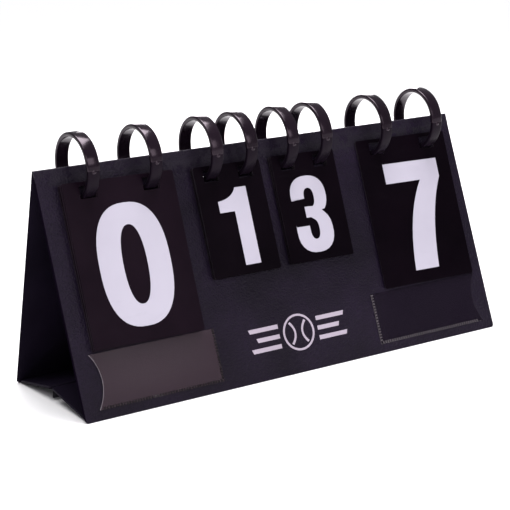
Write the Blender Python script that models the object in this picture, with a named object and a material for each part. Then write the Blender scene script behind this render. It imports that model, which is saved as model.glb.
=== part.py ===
"""Folding tabletop flip score board, modelled in metres with +Z up.

The board is a tent of two stiff panels on a two-leaf base. Eight flat rings
pass through slots in both panels and carry four stacks of digit cards.
The origin is on the floor, midway between the two feet.
"""
import math

import bmesh
import bpy
from mathutils import Matrix, Vector

# Driving dimensions, in metres
BOARD_WIDTH = 0.385
PANEL_LENGTH = 0.1895
PANEL_THICKNESS = 0.0028
LEAN = math.radians(19.1)
PANEL_CORNER = 0.0022
FIT_GAP = 0.0003

# Apex fold of the covering
SPINE_THICKNESS = 0.0010
SPINE_RADIUS = 0.0012
SPINE_STEPS = 6

# Base leaves, their hinge lines and the closing tab at the ridge
LEAF_THICKNESS = 0.0022
LEAF_HINGE_HEIGHT = 0.0027
LEAF_SIDE_MARGIN = 0.0015
RIDGE_HEIGHT = 0.0125
RIDGE_HALF_GAP = 0.0020
TAB_THICKNESS = 0.0011
TAB_BOTTOM = 0.0020
TAB_SIDE_MARGIN = 0.004
STRIP_THICKNESS = 0.0007
STRIP_WIDTH = 0.0045
STRIP_LENGTH = 0.300
LOOP_SETBACK = 0.0029

# Rings
RING_OUTER_RADIUS = 0.0255
RING_WALL = 0.0029
RING_BAND = 0.0106
RING_CHAMFER = 0.0006
RING_STEPS = 40
RING_CENTRE_DROP = 0.0034

# Slots in the panels, along the slope from the apex line
SLOT_WIDTH = 0.0130
SLOT_TOP = 0.0205
SLOT_BOTTOM = 0.0310

# Cards: places along the slope from the apex line
CARD_THICKNESS = 0.00035
CARD_PITCH = CARD_THICKNESS + FIT_GAP
CARD_TOP = 0.0166
CARD_CORNER = 0.0035
CARD_HOLE_WIDTH = 0.0130
CARD_HOLE_TOP = 0.0195
CARD_HOLE_BOTTOM = 0.0294
FLIP_AXIS_DROP = 0.0010
CARDS_PER_STACK = 10
LARGE_CARD = {"width": 0.0920, "bottom": 0.1401, "ring_spacing": 0.0522}
SMALL_CARD = {"width": 0.0600, "bottom": 0.1055, "ring_spacing": 0.0312}
STACKS = (
    {"name": "left_large", "card": LARGE_CARD, "centre": -0.1310, "shows": 0},
    {"name": "left_small", "card": SMALL_CARD, "centre": -0.0353, "shows": 1},
    {"name": "right_small", "card": SMALL_CARD, "centre": 0.0353, "shows": 3},
    {"name": "right_large", "card": LARGE_CARD, "centre": 0.1355, "shows": 7},
)

# Clear name pockets, welded below the large cards
POCKET_INNER_X = 0.0745
POCKET_OUTER_X = 0.1825
POCKET_TOP = 0.1412
POCKET_BOTTOM = 0.1822
POCKET_SHEET = 0.0004
POCKET_RIM = 0.0009
POCKET_SEAM = 0.0030
POCKET_THUMB_DEPTH = 0.0060

APEX_HEIGHT = PANEL_LENGTH * math.cos(LEAN)
APEX_HINGE_DROP = (PANEL_THICKNESS + FIT_GAP / 2) / math.sin(LEAN)
PANEL_TOP = APEX_HINGE_DROP * math.cos(LEAN) + FIT_GAP
RING_CENTRE_HEIGHT = APEX_HEIGHT - RING_CENTRE_DROP

SLOPE_TURN = math.pi / 2 - LEAN


def clear_scene():
    for item in list(bpy.data.objects):
        bpy.data.objects.remove(item, do_unlink=True)


def make_material(name, colour, roughness, metallic=0.0):
    material = bpy.data.materials.new(name)
    material.use_nodes = True
    shader = material.node_tree.nodes["Principled BSDF"]
    shader.inputs["Base Color"].default_value = (*colour, 1.0)
    shader.inputs["Roughness"].default_value = roughness
    shader.inputs["Metallic"].default_value = metallic
    return material


def front_frame():
    """Local x across, y up the front panel's slope, z out of its face; origin on the apex line."""
    return Matrix.Translation((0, 0, APEX_HEIGHT)) @ Matrix.Rotation(SLOPE_TURN, 4, "X")


def back_frame():
    """The front frame turned half a turn about the vertical."""
    half_turn = Matrix.Rotation(math.pi, 4, "Z")
    lift = Matrix.Translation((0, 0, APEX_HEIGHT))
    return lift @ half_turn @ Matrix.Rotation(SLOPE_TURN, 4, "X")


def rounded_rectangle(x0, x1, y0, y1, radius, steps=3):
    """Corner points of a rectangle with round corners, anticlockwise."""
    centres = (
        (x1 - radius, y1 - radius, 0),
        (x0 + radius, y1 - radius, 90),
        (x0 + radius, y0 + radius, 180),
        (x1 - radius, y0 + radius, 270),
    )
    points = []
    for centre_x, centre_y, start in centres:
        for step in range(steps + 1):
            angle = math.radians(start + 90 * step / steps)
            points.append((centre_x + radius * math.cos(angle), centre_y + radius * math.sin(angle)))
    return points


def rectangle(x0, x1, y0, y1):
    return [(x0, y0), (x1, y0), (x1, y1), (x0, y1)]


def plate(outline, holes, low, high):
    """A flat sheet between two heights, cut through by its holes."""
    mesh = bmesh.new()
    edges = []
    for loop in (outline, *holes):
        corners = [mesh.verts.new((x, y, low)) for x, y in loop]
        for first, second in zip(corners, corners[1:] + corners[:1]):
            edges.append(mesh.edges.new((first, second)))
    bmesh.ops.triangle_fill(mesh, use_beauty=True, edges=edges)
    raised = bmesh.ops.extrude_face_region(mesh, geom=mesh.faces[:])["geom"]
    top = [item for item in raised if isinstance(item, bmesh.types.BMVert)]
    bmesh.ops.translate(mesh, verts=top, vec=(0, 0, high - low))
    return mesh


def prism(profile, x0, x1):
    """A closed profile in y and z, drawn out along x."""
    mesh = bmesh.new()
    corners = [mesh.verts.new((x0, y, z)) for y, z in profile]
    face = mesh.faces.new(corners)
    raised = bmesh.ops.extrude_face_region(mesh, geom=[face])["geom"]
    far = [item for item in raised if isinstance(item, bmesh.types.BMVert)]
    bmesh.ops.translate(mesh, verts=far, vec=(x1 - x0, 0, 0))
    return mesh


def add_object(name, mesh, material, frame=None):
    """Close the shape, give it its material and stand it in its frame."""
    bmesh.ops.recalc_face_normals(mesh, faces=mesh.faces[:])
    data = bpy.data.meshes.new(name)
    mesh.to_mesh(data)
    mesh.free()
    data.materials.append(material)
    item = bpy.data.objects.new(name, data)
    item.matrix_world = frame or Matrix.Identity(4)
    bpy.context.collection.objects.link(item)
    return item


def ring_places():
    """The x places of the eight rings, from left to right."""
    places = []
    for stack in STACKS:
        half = stack["card"]["ring_spacing"] / 2
        places += [stack["centre"] - half, stack["centre"] + half]
    return places


def slots(side):
    """Slot outlines, with x turned round on the back panel."""
    half = SLOT_WIDTH / 2
    return [
        rectangle(side * x - half, side * x + half, -SLOT_BOTTOM, -SLOT_TOP)
        for x in ring_places()
    ]


def panel(name, frame, side, material):
    """One stiff board whose lower edge is cut level, to stand flat on the floor."""
    half = BOARD_WIDTH / 2
    outline = rounded_rectangle(-half, half, -PANEL_LENGTH, -PANEL_TOP, PANEL_CORNER)
    mesh = plate(outline, slots(side), -PANEL_THICKNESS, 0)
    level_cut = PANEL_THICKNESS * math.tan(LEAN)
    for corner in mesh.verts:
        inner = corner.co.z < -PANEL_THICKNESS / 2
        if inner and corner.co.y < -PANEL_LENGTH + 1.5 * PANEL_CORNER:
            corner.co.y += level_cut
    add_object(name, mesh, material, frame)


def spine(material):
    """The folded strip of covering that caps both panels at the apex."""
    turn = math.pi / 2 - LEAN
    outer_centre = SPINE_RADIUS / math.sin(LEAN)
    outer = []
    inner = []
    for step in range(SPINE_STEPS + 1):
        angle = math.pi / 2 + turn - 2 * turn * step / SPINE_STEPS
        direction = Vector((math.cos(angle), math.sin(angle)))
        outer.append(Vector((0, APEX_HEIGHT - outer_centre)) + direction * SPINE_RADIUS)
        inner.append(Vector((0, APEX_HEIGHT - outer_centre)) + direction * (SPINE_RADIUS - SPINE_THICKNESS))
    foot = PANEL_TOP - FIT_GAP
    down = Vector((math.sin(LEAN), -math.cos(LEAN)))
    in_normal = Vector((-math.cos(LEAN), -math.sin(LEAN)))
    apex = Vector((0, APEX_HEIGHT))
    right = [apex + down * foot, apex + down * foot + in_normal * SPINE_THICKNESS]
    left = [Vector((-point.x, point.y)) for point in reversed(right)]
    profile = outer + right + list(reversed(inner)) + left
    half = BOARD_WIDTH / 2
    add_object("spine", prism([tuple(point) for point in profile], -half, half), material)


def leaf_hinge_y():
    """How far the leaf hinge lines stand from the middle, on the panels' inner faces."""
    along = (APEX_HEIGHT - LEAF_HINGE_HEIGHT) * math.tan(LEAN)
    return along - PANEL_THICKNESS / math.cos(LEAN) - FIT_GAP


def leaf_slope():
    return math.atan2(RIDGE_HEIGHT - LEAF_HINGE_HEIGHT, leaf_hinge_y())


def leaf_length():
    return math.hypot(RIDGE_HEIGHT - LEAF_HINGE_HEIGHT, leaf_hinge_y())


def leaf_frame(side):
    """Origin on the hinge line, local y up the leaf towards the ridge, z up."""
    place = Matrix.Translation((0, side * leaf_hinge_y(), LEAF_HINGE_HEIGHT))
    turn = Matrix.Rotation(math.pi if side > 0 else 0, 4, "Z")
    return place @ turn @ Matrix.Rotation(leaf_slope(), 4, "X")


def leaf(name, side, material):
    half = BOARD_WIDTH / 2 - LEAF_SIDE_MARGIN
    end = leaf_length() - RIDGE_HALF_GAP
    outline = rounded_rectangle(-half, half, 2 * FIT_GAP, end, PANEL_CORNER / 2)
    add_object(name, plate(outline, (), -LEAF_THICKNESS, 0), material, leaf_frame(side))


def tab_axis():
    """The closing tab's hinge line, just under the tip of the rear leaf."""
    slope = leaf_slope()
    end = leaf_length() - RIDGE_HALF_GAP - TAB_THICKNESS
    depth = LEAF_THICKNESS + FIT_GAP + TAB_THICKNESS / 2
    y = leaf_hinge_y() - end * math.cos(slope) - depth * math.sin(slope)
    z = LEAF_HINGE_HEIGHT + end * math.sin(slope) - depth * math.cos(slope)
    return Vector((0, y, z))


def closing_tab(tab_material, hook_material):
    """A hanging flap with a hook strip on its front face."""
    axis = tab_axis()
    frame = Matrix.Translation(axis)
    half = BOARD_WIDTH / 2 - TAB_SIDE_MARGIN
    low = TAB_BOTTOM - axis.z
    rear = TAB_THICKNESS / 2
    profile = [(-rear, low), (rear, low), (rear, 0), (-rear, 0)]
    add_object("closing_tab", prism(profile, -half, half), tab_material, frame)
    front = -rear - FIT_GAP
    strip = [
        (front - STRIP_THICKNESS, low + FIT_GAP),
        (front, low + FIT_GAP),
        (front, low + FIT_GAP + STRIP_WIDTH),
        (front - STRIP_THICKNESS, low + FIT_GAP + STRIP_WIDTH),
    ]
    add_object("hook_strip", prism(strip, -STRIP_LENGTH / 2, STRIP_LENGTH / 2), hook_material, frame)


def loop_strip(material):
    """The strip under the front leaf that the tab's hook strip meets."""
    end = leaf_length() - RIDGE_HALF_GAP - LOOP_SETBACK
    half = STRIP_LENGTH / 2
    top = -LEAF_THICKNESS - FIT_GAP
    outline = rectangle(-half, half, end - 1.5 * STRIP_WIDTH, end)
    add_object("loop_strip", plate(outline, (), top - STRIP_THICKNESS, top), material, leaf_frame(-1))


def ring(name, x, material):
    """A flat band bent into a full ring, with eased edges."""
    half = RING_BAND / 2
    inner = RING_OUTER_RADIUS - RING_WALL
    ease = RING_CHAMFER
    profile = (
        (-half + ease, RING_OUTER_RADIUS),
        (half - ease, RING_OUTER_RADIUS),
        (half, RING_OUTER_RADIUS - ease),
        (half, inner + ease),
        (half - ease, inner),
        (-half + ease, inner),
        (-half, inner + ease),
        (-half, RING_OUTER_RADIUS - ease),
    )
    mesh = bmesh.new()
    corners = [mesh.verts.new((across, 0, radius)) for across, radius in profile]
    edges = [mesh.edges.new(pair) for pair in zip(corners, corners[1:] + corners[:1])]
    bmesh.ops.spin(
        mesh, geom=corners + edges, axis=(1, 0, 0), cent=(0, 0, 0),
        angle=2 * math.pi, steps=RING_STEPS, use_merge=True,
    )
    bmesh.ops.remove_doubles(mesh, verts=mesh.verts[:], dist=0.00001)
    item = add_object(name, mesh, material, Matrix.Translation((x, 0, RING_CENTRE_HEIGHT)))
    item.data.shade_smooth()
    item.data.set_sharp_from_angle(angle=math.radians(35))


def card(name, stack, level, side, material):
    """One card, with its origin on the line about which the cards turn over."""
    size = stack["card"]
    half = size["width"] / 2
    spacing = size["ring_spacing"] / 2
    hole = CARD_HOLE_WIDTH / 2
    foot = FLIP_AXIS_DROP * math.cos(LEAN)
    low = FLIP_AXIS_DROP * math.sin(LEAN) + FIT_GAP + level * CARD_PITCH
    outline = rounded_rectangle(-half, half, foot - size["bottom"], foot - CARD_TOP, CARD_CORNER)
    holes = [
        rectangle(x - hole, x + hole, foot - CARD_HOLE_BOTTOM, foot - CARD_HOLE_TOP)
        for x in (-spacing, spacing)
    ]
    frame = front_frame() if side > 0 else back_frame()
    frame.translation = Vector((stack["centre"], 0, APEX_HEIGHT - FLIP_AXIS_DROP))
    add_object(name, plate(outline, holes, low, low + CARD_THICKNESS), material, frame)


def card_stacks(material):
    """The digit that shows is on top; smaller digits have been turned over to the back."""
    for stack in STACKS:
        shown = stack["shows"]
        for digit in range(CARDS_PER_STACK):
            name = f"{stack['name']}_card_{digit}"
            if digit >= shown:
                card(name, stack, CARDS_PER_STACK - 1 - digit, 1, material)
            else:
                card(name, stack, digit, -1, material)


def pocket(name, side, material):
    """A clear sheet with a raised weld on three sides and a thumb cut at its open outer end."""
    middle = -(POCKET_TOP + POCKET_BOTTOM) / 2
    half_height = (POCKET_BOTTOM - POCKET_TOP) / 2
    thumb = []
    steps = 8
    for step in range(steps + 1):
        along = -1 + 2 * step / steps
        inset = POCKET_THUMB_DEPTH * (1 - along * along)
        thumb.append((POCKET_OUTER_X - inset, middle + along * half_height))
    outline = [*thumb, (POCKET_INNER_X, -POCKET_TOP), (POCKET_INNER_X, -POCKET_BOTTOM)]
    mesh = plate([(side * x, y) for x, y in outline], (), FIT_GAP, FIT_GAP + POCKET_SHEET)
    data = add_object(name, mesh, material, front_frame())
    seam = pocket_seam(side)
    seam.hide_render = True
    seam.display_type = "WIRE"
    union = data.modifiers.new("weld", "BOOLEAN")
    union.operation = "UNION"
    union.solver = "EXACT"
    union.object = seam


def pocket_seam(side):
    """The raised weld, as a guide solid that is joined to the pocket's sheet."""
    x0 = POCKET_INNER_X
    x1 = POCKET_OUTER_X - POCKET_THUMB_DEPTH / 2
    low = -POCKET_BOTTOM
    high = -POCKET_TOP
    outline = [
        (x0, low), (x1, low), (x1, low + POCKET_SEAM), (x0 + POCKET_SEAM, low + POCKET_SEAM),
        (x0 + POCKET_SEAM, high - POCKET_SEAM), (x1, high - POCKET_SEAM), (x1, high), (x0, high),
    ]
    mesh = plate([(side * x, y) for x, y in outline], (), FIT_GAP + POCKET_SHEET / 2, FIT_GAP + POCKET_RIM)
    material = make_material("weld guide", (0.5, 0.5, 0.5), 0.5)
    return add_object(f"weld_guide_{side}", mesh, material, front_frame())


def build():
    clear_scene()
    cover = make_material("black leatherette", (0.018, 0.017, 0.024), 0.55)
    lining = make_material("black lining", (0.012, 0.012, 0.014), 0.7)
    plastic = make_material("black ring plastic", (0.02, 0.02, 0.024), 0.35)
    vinyl = make_material("black card vinyl", (0.014, 0.014, 0.018), 0.4)
    clear = make_material("clear pocket vinyl", (0.55, 0.54, 0.56), 0.12)
    hook = make_material("hook tape", (0.02, 0.02, 0.02), 0.8)
    loop = make_material("loop tape", (0.025, 0.025, 0.025), 0.9)
    panel("front_panel", front_frame(), 1, cover)
    panel("back_panel", back_frame(), -1, cover)
    spine(cover)
    leaf("front_base_leaf", -1, lining)
    leaf("rear_base_leaf", 1, lining)
    closing_tab(lining, hook)
    loop_strip(loop)
    for number, x in enumerate(ring_places(), start=1):
        ring(f"ring_{number}", x, plastic)
    card_stacks(vinyl)
    pocket("left_name_pocket", -1, clear)
    pocket("right_name_pocket", 1, clear)


build()
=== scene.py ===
import math
import random
import bmesh
import bpy
from mathutils import Matrix, Vector


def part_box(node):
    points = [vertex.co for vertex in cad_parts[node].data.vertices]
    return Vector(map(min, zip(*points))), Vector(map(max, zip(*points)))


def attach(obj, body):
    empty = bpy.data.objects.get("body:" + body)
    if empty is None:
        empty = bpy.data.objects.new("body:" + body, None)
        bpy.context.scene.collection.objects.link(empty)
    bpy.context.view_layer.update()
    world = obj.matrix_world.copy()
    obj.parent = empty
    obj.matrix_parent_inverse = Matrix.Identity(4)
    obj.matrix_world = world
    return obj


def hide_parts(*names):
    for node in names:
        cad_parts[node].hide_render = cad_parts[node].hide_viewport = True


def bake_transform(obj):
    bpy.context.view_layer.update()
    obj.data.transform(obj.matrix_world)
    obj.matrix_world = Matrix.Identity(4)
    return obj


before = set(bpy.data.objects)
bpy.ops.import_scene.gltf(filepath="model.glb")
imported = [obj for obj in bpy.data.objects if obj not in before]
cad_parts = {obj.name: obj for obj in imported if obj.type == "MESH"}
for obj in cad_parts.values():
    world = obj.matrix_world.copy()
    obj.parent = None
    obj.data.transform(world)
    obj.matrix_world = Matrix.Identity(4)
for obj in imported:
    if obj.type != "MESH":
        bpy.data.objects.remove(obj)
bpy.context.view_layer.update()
random.seed(7)

# lengths are metres; "slope" places run down a panel from the apex line
board = {"lean": math.radians(19.1), "panelTop": 0.0088, "panelThickness": 0.0028}
apexHeight = -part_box("front_panel")[0][1] / math.tan(board["lean"])
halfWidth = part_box("front_panel")[1][0]


def slopeFrame(side):
    # x across, y up the slope, z out of the panel's face
    turn = Matrix.Identity(4) if side > 0 else Matrix.Rotation(math.pi, 4, "Z")
    tilt = Matrix.Rotation(math.pi / 2 - board["lean"], 4, "X")
    return Matrix.Translation((0, 0, apexHeight)) @ turn @ tilt


def deselectAll():
    if bpy.context.object and bpy.context.object.mode != "OBJECT":
        bpy.ops.object.mode_set(mode="OBJECT")
    bpy.ops.object.select_all(action="DESELECT")


def makeActive(piece):
    deselectAll()
    piece.select_set(True)
    bpy.context.view_layer.objects.active = piece


def editAll(piece):
    makeActive(piece)
    bpy.ops.object.mode_set(mode="EDIT")
    bpy.ops.mesh.select_all(action="SELECT")


def leaveEdit():
    bpy.ops.object.mode_set(mode="OBJECT")


def pickPoints(piece, test):
    # called in edit mode, leaves only the points that pass the test selected
    bpy.ops.mesh.select_mode(type="VERT")
    bpy.ops.mesh.select_all(action="DESELECT")
    mesh = bmesh.from_edit_mesh(piece.data)
    for point in mesh.verts:
        point.select = test(point.co)
    mesh.select_flush_mode()
    bmesh.update_edit_mesh(piece.data)


def pickFaces(piece, test):
    bpy.ops.mesh.select_mode(type="FACE")
    bpy.ops.mesh.select_all(action="DESELECT")
    mesh = bmesh.from_edit_mesh(piece.data)
    for face in mesh.faces:
        face.select = test(face.calc_center_median(), face.normal)
    bmesh.update_edit_mesh(piece.data)


def applyAll(piece):
    makeActive(piece)
    for modifier in list(piece.modifiers):
        bpy.ops.object.modifier_apply(modifier=modifier.name)


def roundEdges(piece, width, segments=3, angle=35):
    edge = piece.modifiers.new("edge", "BEVEL")
    edge.width = width
    edge.segments = segments
    edge.limit_method = "ANGLE"
    edge.angle_limit = math.radians(angle)
    applyAll(piece)


def smoothShade(piece, angle=40):
    makeActive(piece)
    bpy.ops.object.shade_smooth_by_angle(angle=math.radians(angle))


def cleanNormals(piece):
    editAll(piece)
    bpy.ops.mesh.remove_doubles(threshold=0.000002)
    bpy.ops.mesh.normals_make_consistent(inside=False)
    leaveEdit()


def bakePlace(piece):
    makeActive(piece)
    bpy.ops.object.transform_apply(location=True, rotation=True, scale=True)


def duplicate(piece):
    twin = piece.copy()
    twin.data = piece.data.copy()
    bpy.context.scene.collection.objects.link(twin)
    return twin


def place(piece, matrix):
    piece.data.transform(matrix)
    piece.data.update()


def settle(piece, body, slot, *nodes):
    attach(piece, body)
    if nodes:
        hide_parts(*nodes)


def copyNode(node, name):
    # a CAD node's mesh is loose triangles, so the copy is merged and its flats are joined up
    piece = duplicate(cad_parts[node])
    piece.name = name
    for key in list(piece.keys()):
        del piece[key]
    piece.hide_render = False
    editAll(piece)
    bpy.ops.mesh.remove_doubles(threshold=0.00001)
    bpy.ops.mesh.dissolve_limited(angle_limit=math.radians(1))
    leaveEdit()
    return piece


def joinPieces(main, others):
    makeActive(main)
    for other in others:
        other.select_set(True)
    bpy.context.view_layer.objects.active = main
    bpy.ops.object.join()
    return main


def feed(tree, socket, value):
    # an input takes a plain value, or a link where the value is another node's output
    if hasattr(value, "links"):
        tree.links.new(value, socket)
    else:
        socket.default_value = value


def setNode(tree, node, **values):
    for key, value in values.items():
        if hasattr(node, key):
            setattr(node, key, value)
        else:
            feed(tree, node.inputs[key.replace("_", " ")], value)
    return node


def addNode(tree, kind, **values):
    return setNode(tree, tree.nodes.new(kind), **values)


def addMath(tree, operation, first, second):
    node = addNode(tree, "ShaderNodeMath", operation=operation)
    for socket, value in zip(node.inputs, (first, second)):
        feed(tree, socket, value)
    return node.outputs[0]


def boardSpot(tree):
    # object coordinates, which are the board's own, as every piece sits at the origin
    return addNode(tree, "ShaderNodeTexCoord").outputs["Object"]


def addNoise(tree, spot, **values):
    return addNode(tree, "ShaderNodeTexNoise", Vector=spot, **values).outputs["Fac"]


def spread(tree, factor, low, high, fromLow=0.3, fromHigh=0.7):
    ranged = addNode(
        tree, "ShaderNodeMapRange", clamp=True, Value=factor, From_Min=fromLow, From_Max=fromHigh,
        To_Min=low, To_Max=high,
    )
    return ranged.outputs["Result"]


def mixColour(tree, factor, first, second):
    mix = addNode(tree, "ShaderNodeMix", data_type="RGBA", Factor=factor)
    for socket, value in ((mix.inputs[6], first), (mix.inputs[7], second)):
        feed(tree, socket, value if hasattr(value, "links") else (*value, 1.0))
    return mix.outputs[2]


def newGroup(name, inputs, outputs):
    group = bpy.data.node_groups.new(name, "ShaderNodeTree")
    for title, value in inputs.items():
        socket = group.interface.new_socket(title, in_out="INPUT", socket_type="NodeSocketFloat")
        socket.default_value = value
    for title in outputs:
        group.interface.new_socket(title, in_out="OUTPUT", socket_type="NodeSocketFloat")
    return group, group.nodes.new("NodeGroupInput").outputs, group.nodes.new("NodeGroupOutput")


def makeGrainGroup():
    # pebbled grain for covering and moulded skins: a height, and a slow tone drift
    group, given, sink = newGroup("pebbleGrain", {"Size": 900.0, "Softness": 0.5}, ("Height", "Tone"))
    spot = boardSpot(group)
    cells = addNode(
        group, "ShaderNodeTexVoronoi", feature="SMOOTH_F1", Randomness=1.0, Scale=given["Size"], Vector=spot,
    )
    larger = addMath(group, "MULTIPLY", given["Size"], 0.31)
    wrinkles = addNoise(group, spot, Detail=4.0, Roughness=0.6, Scale=larger)
    blend = addNode(
        group, "ShaderNodeMix", data_type="FLOAT", Factor=given["Softness"], A=cells.outputs["Distance"],
        B=wrinkles,
    )
    drift = addNoise(group, spot, Scale=16.0, Detail=3.0, Roughness=0.55)
    setNode(group, sink, Height=blend.outputs["Result"], Tone=drift)
    return group


def makeEdgeWearAndHighlightGroup():
    # lighter edges: rubbed wear, and on the rings a painted edge highlight; broken up so that the line is not
    # even
    group, given, sink = newGroup("rubbedAndLitEdge", {"Reach": 0.54, "Break": 90.0}, ("Mask",))
    pointed = addNode(group, "ShaderNodeNewGeometry").outputs["Pointiness"]
    soft = spread(group, pointed, 0.0, 1.0, given["Reach"], 0.66)
    patches = addNoise(group, boardSpot(group), Detail=5.0, Roughness=0.7, Scale=given["Break"])
    sharp = addMath(group, "GREATER_THAN", patches, 0.46)
    setNode(group, sink, Mask=addMath(group, "MULTIPLY", soft, sharp))
    return group


def makeHandlingGroup():
    # fine rubs and dull finger patches from handling
    group, given, sink = newGroup("handling", {"Scale": 55.0, "Amount": 0.5}, ("Rubs", "Patches"))
    spot = boardSpot(group)
    stretch = addNode(
        group, "ShaderNodeMapping", Vector=spot, Scale=(0.25, 2.6, 1.0), Rotation=(0.2, 0.1, 0.7),
    ).outputs["Vector"]
    rubs = addNoise(group, stretch, Detail=6.0, Roughness=0.75, Distortion=0.6, Scale=given["Scale"])
    picked = addMath(group, "MULTIPLY", spread(group, rubs, 0.0, 1.0, 0.6, 0.74), given["Amount"])
    patches = addNoise(group, spot, Scale=22.0, Detail=2.5, Roughness=0.5)
    setNode(group, sink, Rubs=picked, Patches=patches)
    return group


groups = {"grain": makeGrainGroup(), "edgeWearAndHighlight": makeEdgeWearAndHighlightGroup(), "handling": makeHandlingGroup()}


def useGroup(tree, key, **values):
    return addNode(tree, "ShaderNodeGroup", node_tree=groups[key], **values)


def addBump(tree, shader, height, strength, distance):
    bump = addNode(tree, "ShaderNodeBump", Strength=strength, Distance=distance, Height=height)
    setNode(tree, shader, Normal=bump.outputs["Normal"])


def newMaterial(name, **fixed):
    material = bpy.data.materials.new(name)
    material.use_nodes = True
    tree = material.node_tree
    return material, tree, setNode(tree, tree.nodes["Principled BSDF"], **fixed)


def makeSkin(name, look):
    # one build for every grained or moulded dark surface, told apart by its look
    material, tree, shader = newMaterial(name, **look.get("fixed", {}))
    grain = useGroup(tree, "grain", Size=look["grainSize"], Softness=look["softness"])
    edgeWearAndHighlight = useGroup(tree, "edgeWearAndHighlight", Reach=look["edgeMaskReach"], Break=look["edgeMaskBreak"])
    handling = useGroup(tree, "handling", Scale=look["rubScale"], Amount=look["rubAmount"])
    drifted = mixColour(tree, spread(tree, grain.outputs["Tone"], 0.0, 1.0), look["dark"], look["light"])
    pits = spread(tree, grain.outputs["Height"], look["pits"], 0.0, 0.1, 0.55)
    pitted = mixColour(tree, pits, drifted, look["dark"])
    rubbed = mixColour(tree, handling.outputs["Rubs"], pitted, look["rub"])
    # the edge colour is rubbed wear, and on the rings a painted edge highlight
    edgeWornAndLit = mixColour(tree, edgeWearAndHighlight.outputs["Mask"], rubbed, look["edge"])
    rough = spread(tree, handling.outputs["Patches"], look["roughLow"], look["roughHigh"])
    setNode(tree, shader, Base_Color=edgeWornAndLit, Roughness=rough)
    addBump(tree, shader, grain.outputs["Height"], look["bump"], look["bumpDepth"])
    return material


skinLooks = {
    "leatherette": {
        "dark": (0.0040, 0.0022, 0.0066), "light": (0.0125, 0.0072, 0.0195), "rub": (0.013, 0.009, 0.019),
        "edge": (0.013, 0.010, 0.017), "pits": 0.95, "grainSize": 760.0, "softness": 0.3, "edgeMaskReach": 0.53,
        "edgeMaskBreak": 120.0, "rubScale": 60.0, "rubAmount": 0.12, "roughLow": 0.36, "roughHigh": 0.46,
        "bump": 1.0, "bumpDepth": 0.0007, "fixed": {"Specular_IOR_Level": 0.12},
    },
    "panelLining": {
        "dark": (0.0038, 0.0024, 0.0064), "light": (0.0085, 0.0055, 0.0135), "rub": (0.010, 0.0095, 0.012),
        "edge": (0.016, 0.015, 0.018), "pits": 0.5, "grainSize": 2600.0, "softness": 0.75, "edgeMaskReach": 0.54,
        "edgeMaskBreak": 140.0, "rubScale": 80.0, "rubAmount": 0.3, "roughLow": 0.6, "roughHigh": 0.75,
        "bump": 0.3, "bumpDepth": 0.00015, "fixed": {"Specular_IOR_Level": 0.05},
    },
    # the rings' light edge colour is a painted highlight along their rounded edges
    "ringPlastic": {
        "dark": (0.0042, 0.0019, 0.0042), "light": (0.0085, 0.0044, 0.0085), "rub": (0.012, 0.010, 0.0125),
        "edge": (0.025, 0.022, 0.026), "pits": 0.2, "grainSize": 700.0, "softness": 0.85, "edgeMaskReach": 0.55,
        "edgeMaskBreak": 260.0, "rubScale": 160.0, "rubAmount": 0.45, "roughLow": 0.13, "roughHigh": 0.21,
        "bump": 0.12, "bumpDepth": 0.0002,
        "fixed": {"Specular_IOR_Level": 0.32, "Specular_Tint": (1.0, 0.82, 0.96, 1.0)},
    },
    "ringSocketPlastic": {
        "dark": (0.0040, 0.0023, 0.0048), "light": (0.0066, 0.0040, 0.0078), "rub": (0.022, 0.019, 0.023),
        "edge": (0.03, 0.027, 0.03), "pits": 0.4, "grainSize": 1900.0, "softness": 0.4, "edgeMaskReach": 0.54,
        "edgeMaskBreak": 260.0, "rubScale": 160.0, "rubAmount": 0.4, "roughLow": 0.26, "roughHigh": 0.36,
        "bump": 0.35, "bumpDepth": 0.00012,
        "fixed": {"Specular_IOR_Level": 0.07, "Specular_Tint": (1.0, 0.8, 0.98, 1.0)},
    },
    "cardVinyl": {
        "dark": (0.0042, 0.0018, 0.0042), "light": (0.0088, 0.0042, 0.0084), "rub": (0.009, 0.007, 0.009),
        "edge": (0.02, 0.018, 0.02), "pits": 0.3, "grainSize": 2300.0, "softness": 0.8, "edgeMaskReach": 0.56,
        "edgeMaskBreak": 200.0, "rubScale": 95.0, "rubAmount": 0.4, "roughLow": 0.34, "roughHigh": 0.46,
        "bump": 0.16, "bumpDepth": 0.00012, "fixed": {"Specular_IOR_Level": 0.035},
    },
}

# the cards' cut edges: lighter than their faces, and brightened further as a painted highlight along the
# stacked edges
skinLooks["cardCutEdgeHighlight"] = dict(
    skinLooks["cardVinyl"], dark=(0.024, 0.019, 0.026), light=(0.046, 0.039, 0.048), rub=(0.07, 0.062, 0.072),
    roughLow=0.4, roughHigh=0.55,
)
# a darker copy of the card vinyl, painted shade, for every stack but the left large one
skinLooks["shadedCardVinyl"] = dict(
    skinLooks["cardVinyl"], dark=(0.0014, 0.0006, 0.0016), light=(0.0034, 0.0016, 0.0036),
    rub=(0.006, 0.0045, 0.0065), fixed={"Specular_IOR_Level": 0.025},
)
# the panels' side faces: a darker, non-glossy copy of the covering, painted shade
skinLooks["shadedBoardSide"] = dict(
    skinLooks["leatherette"], dark=(0.0028, 0.0015, 0.0045), light=(0.0065, 0.0040, 0.0100),
    edge=(0.009, 0.007, 0.012), roughLow=0.7, roughHigh=0.85, fixed={"Specular_IOR_Level": 0.0},
)


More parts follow.
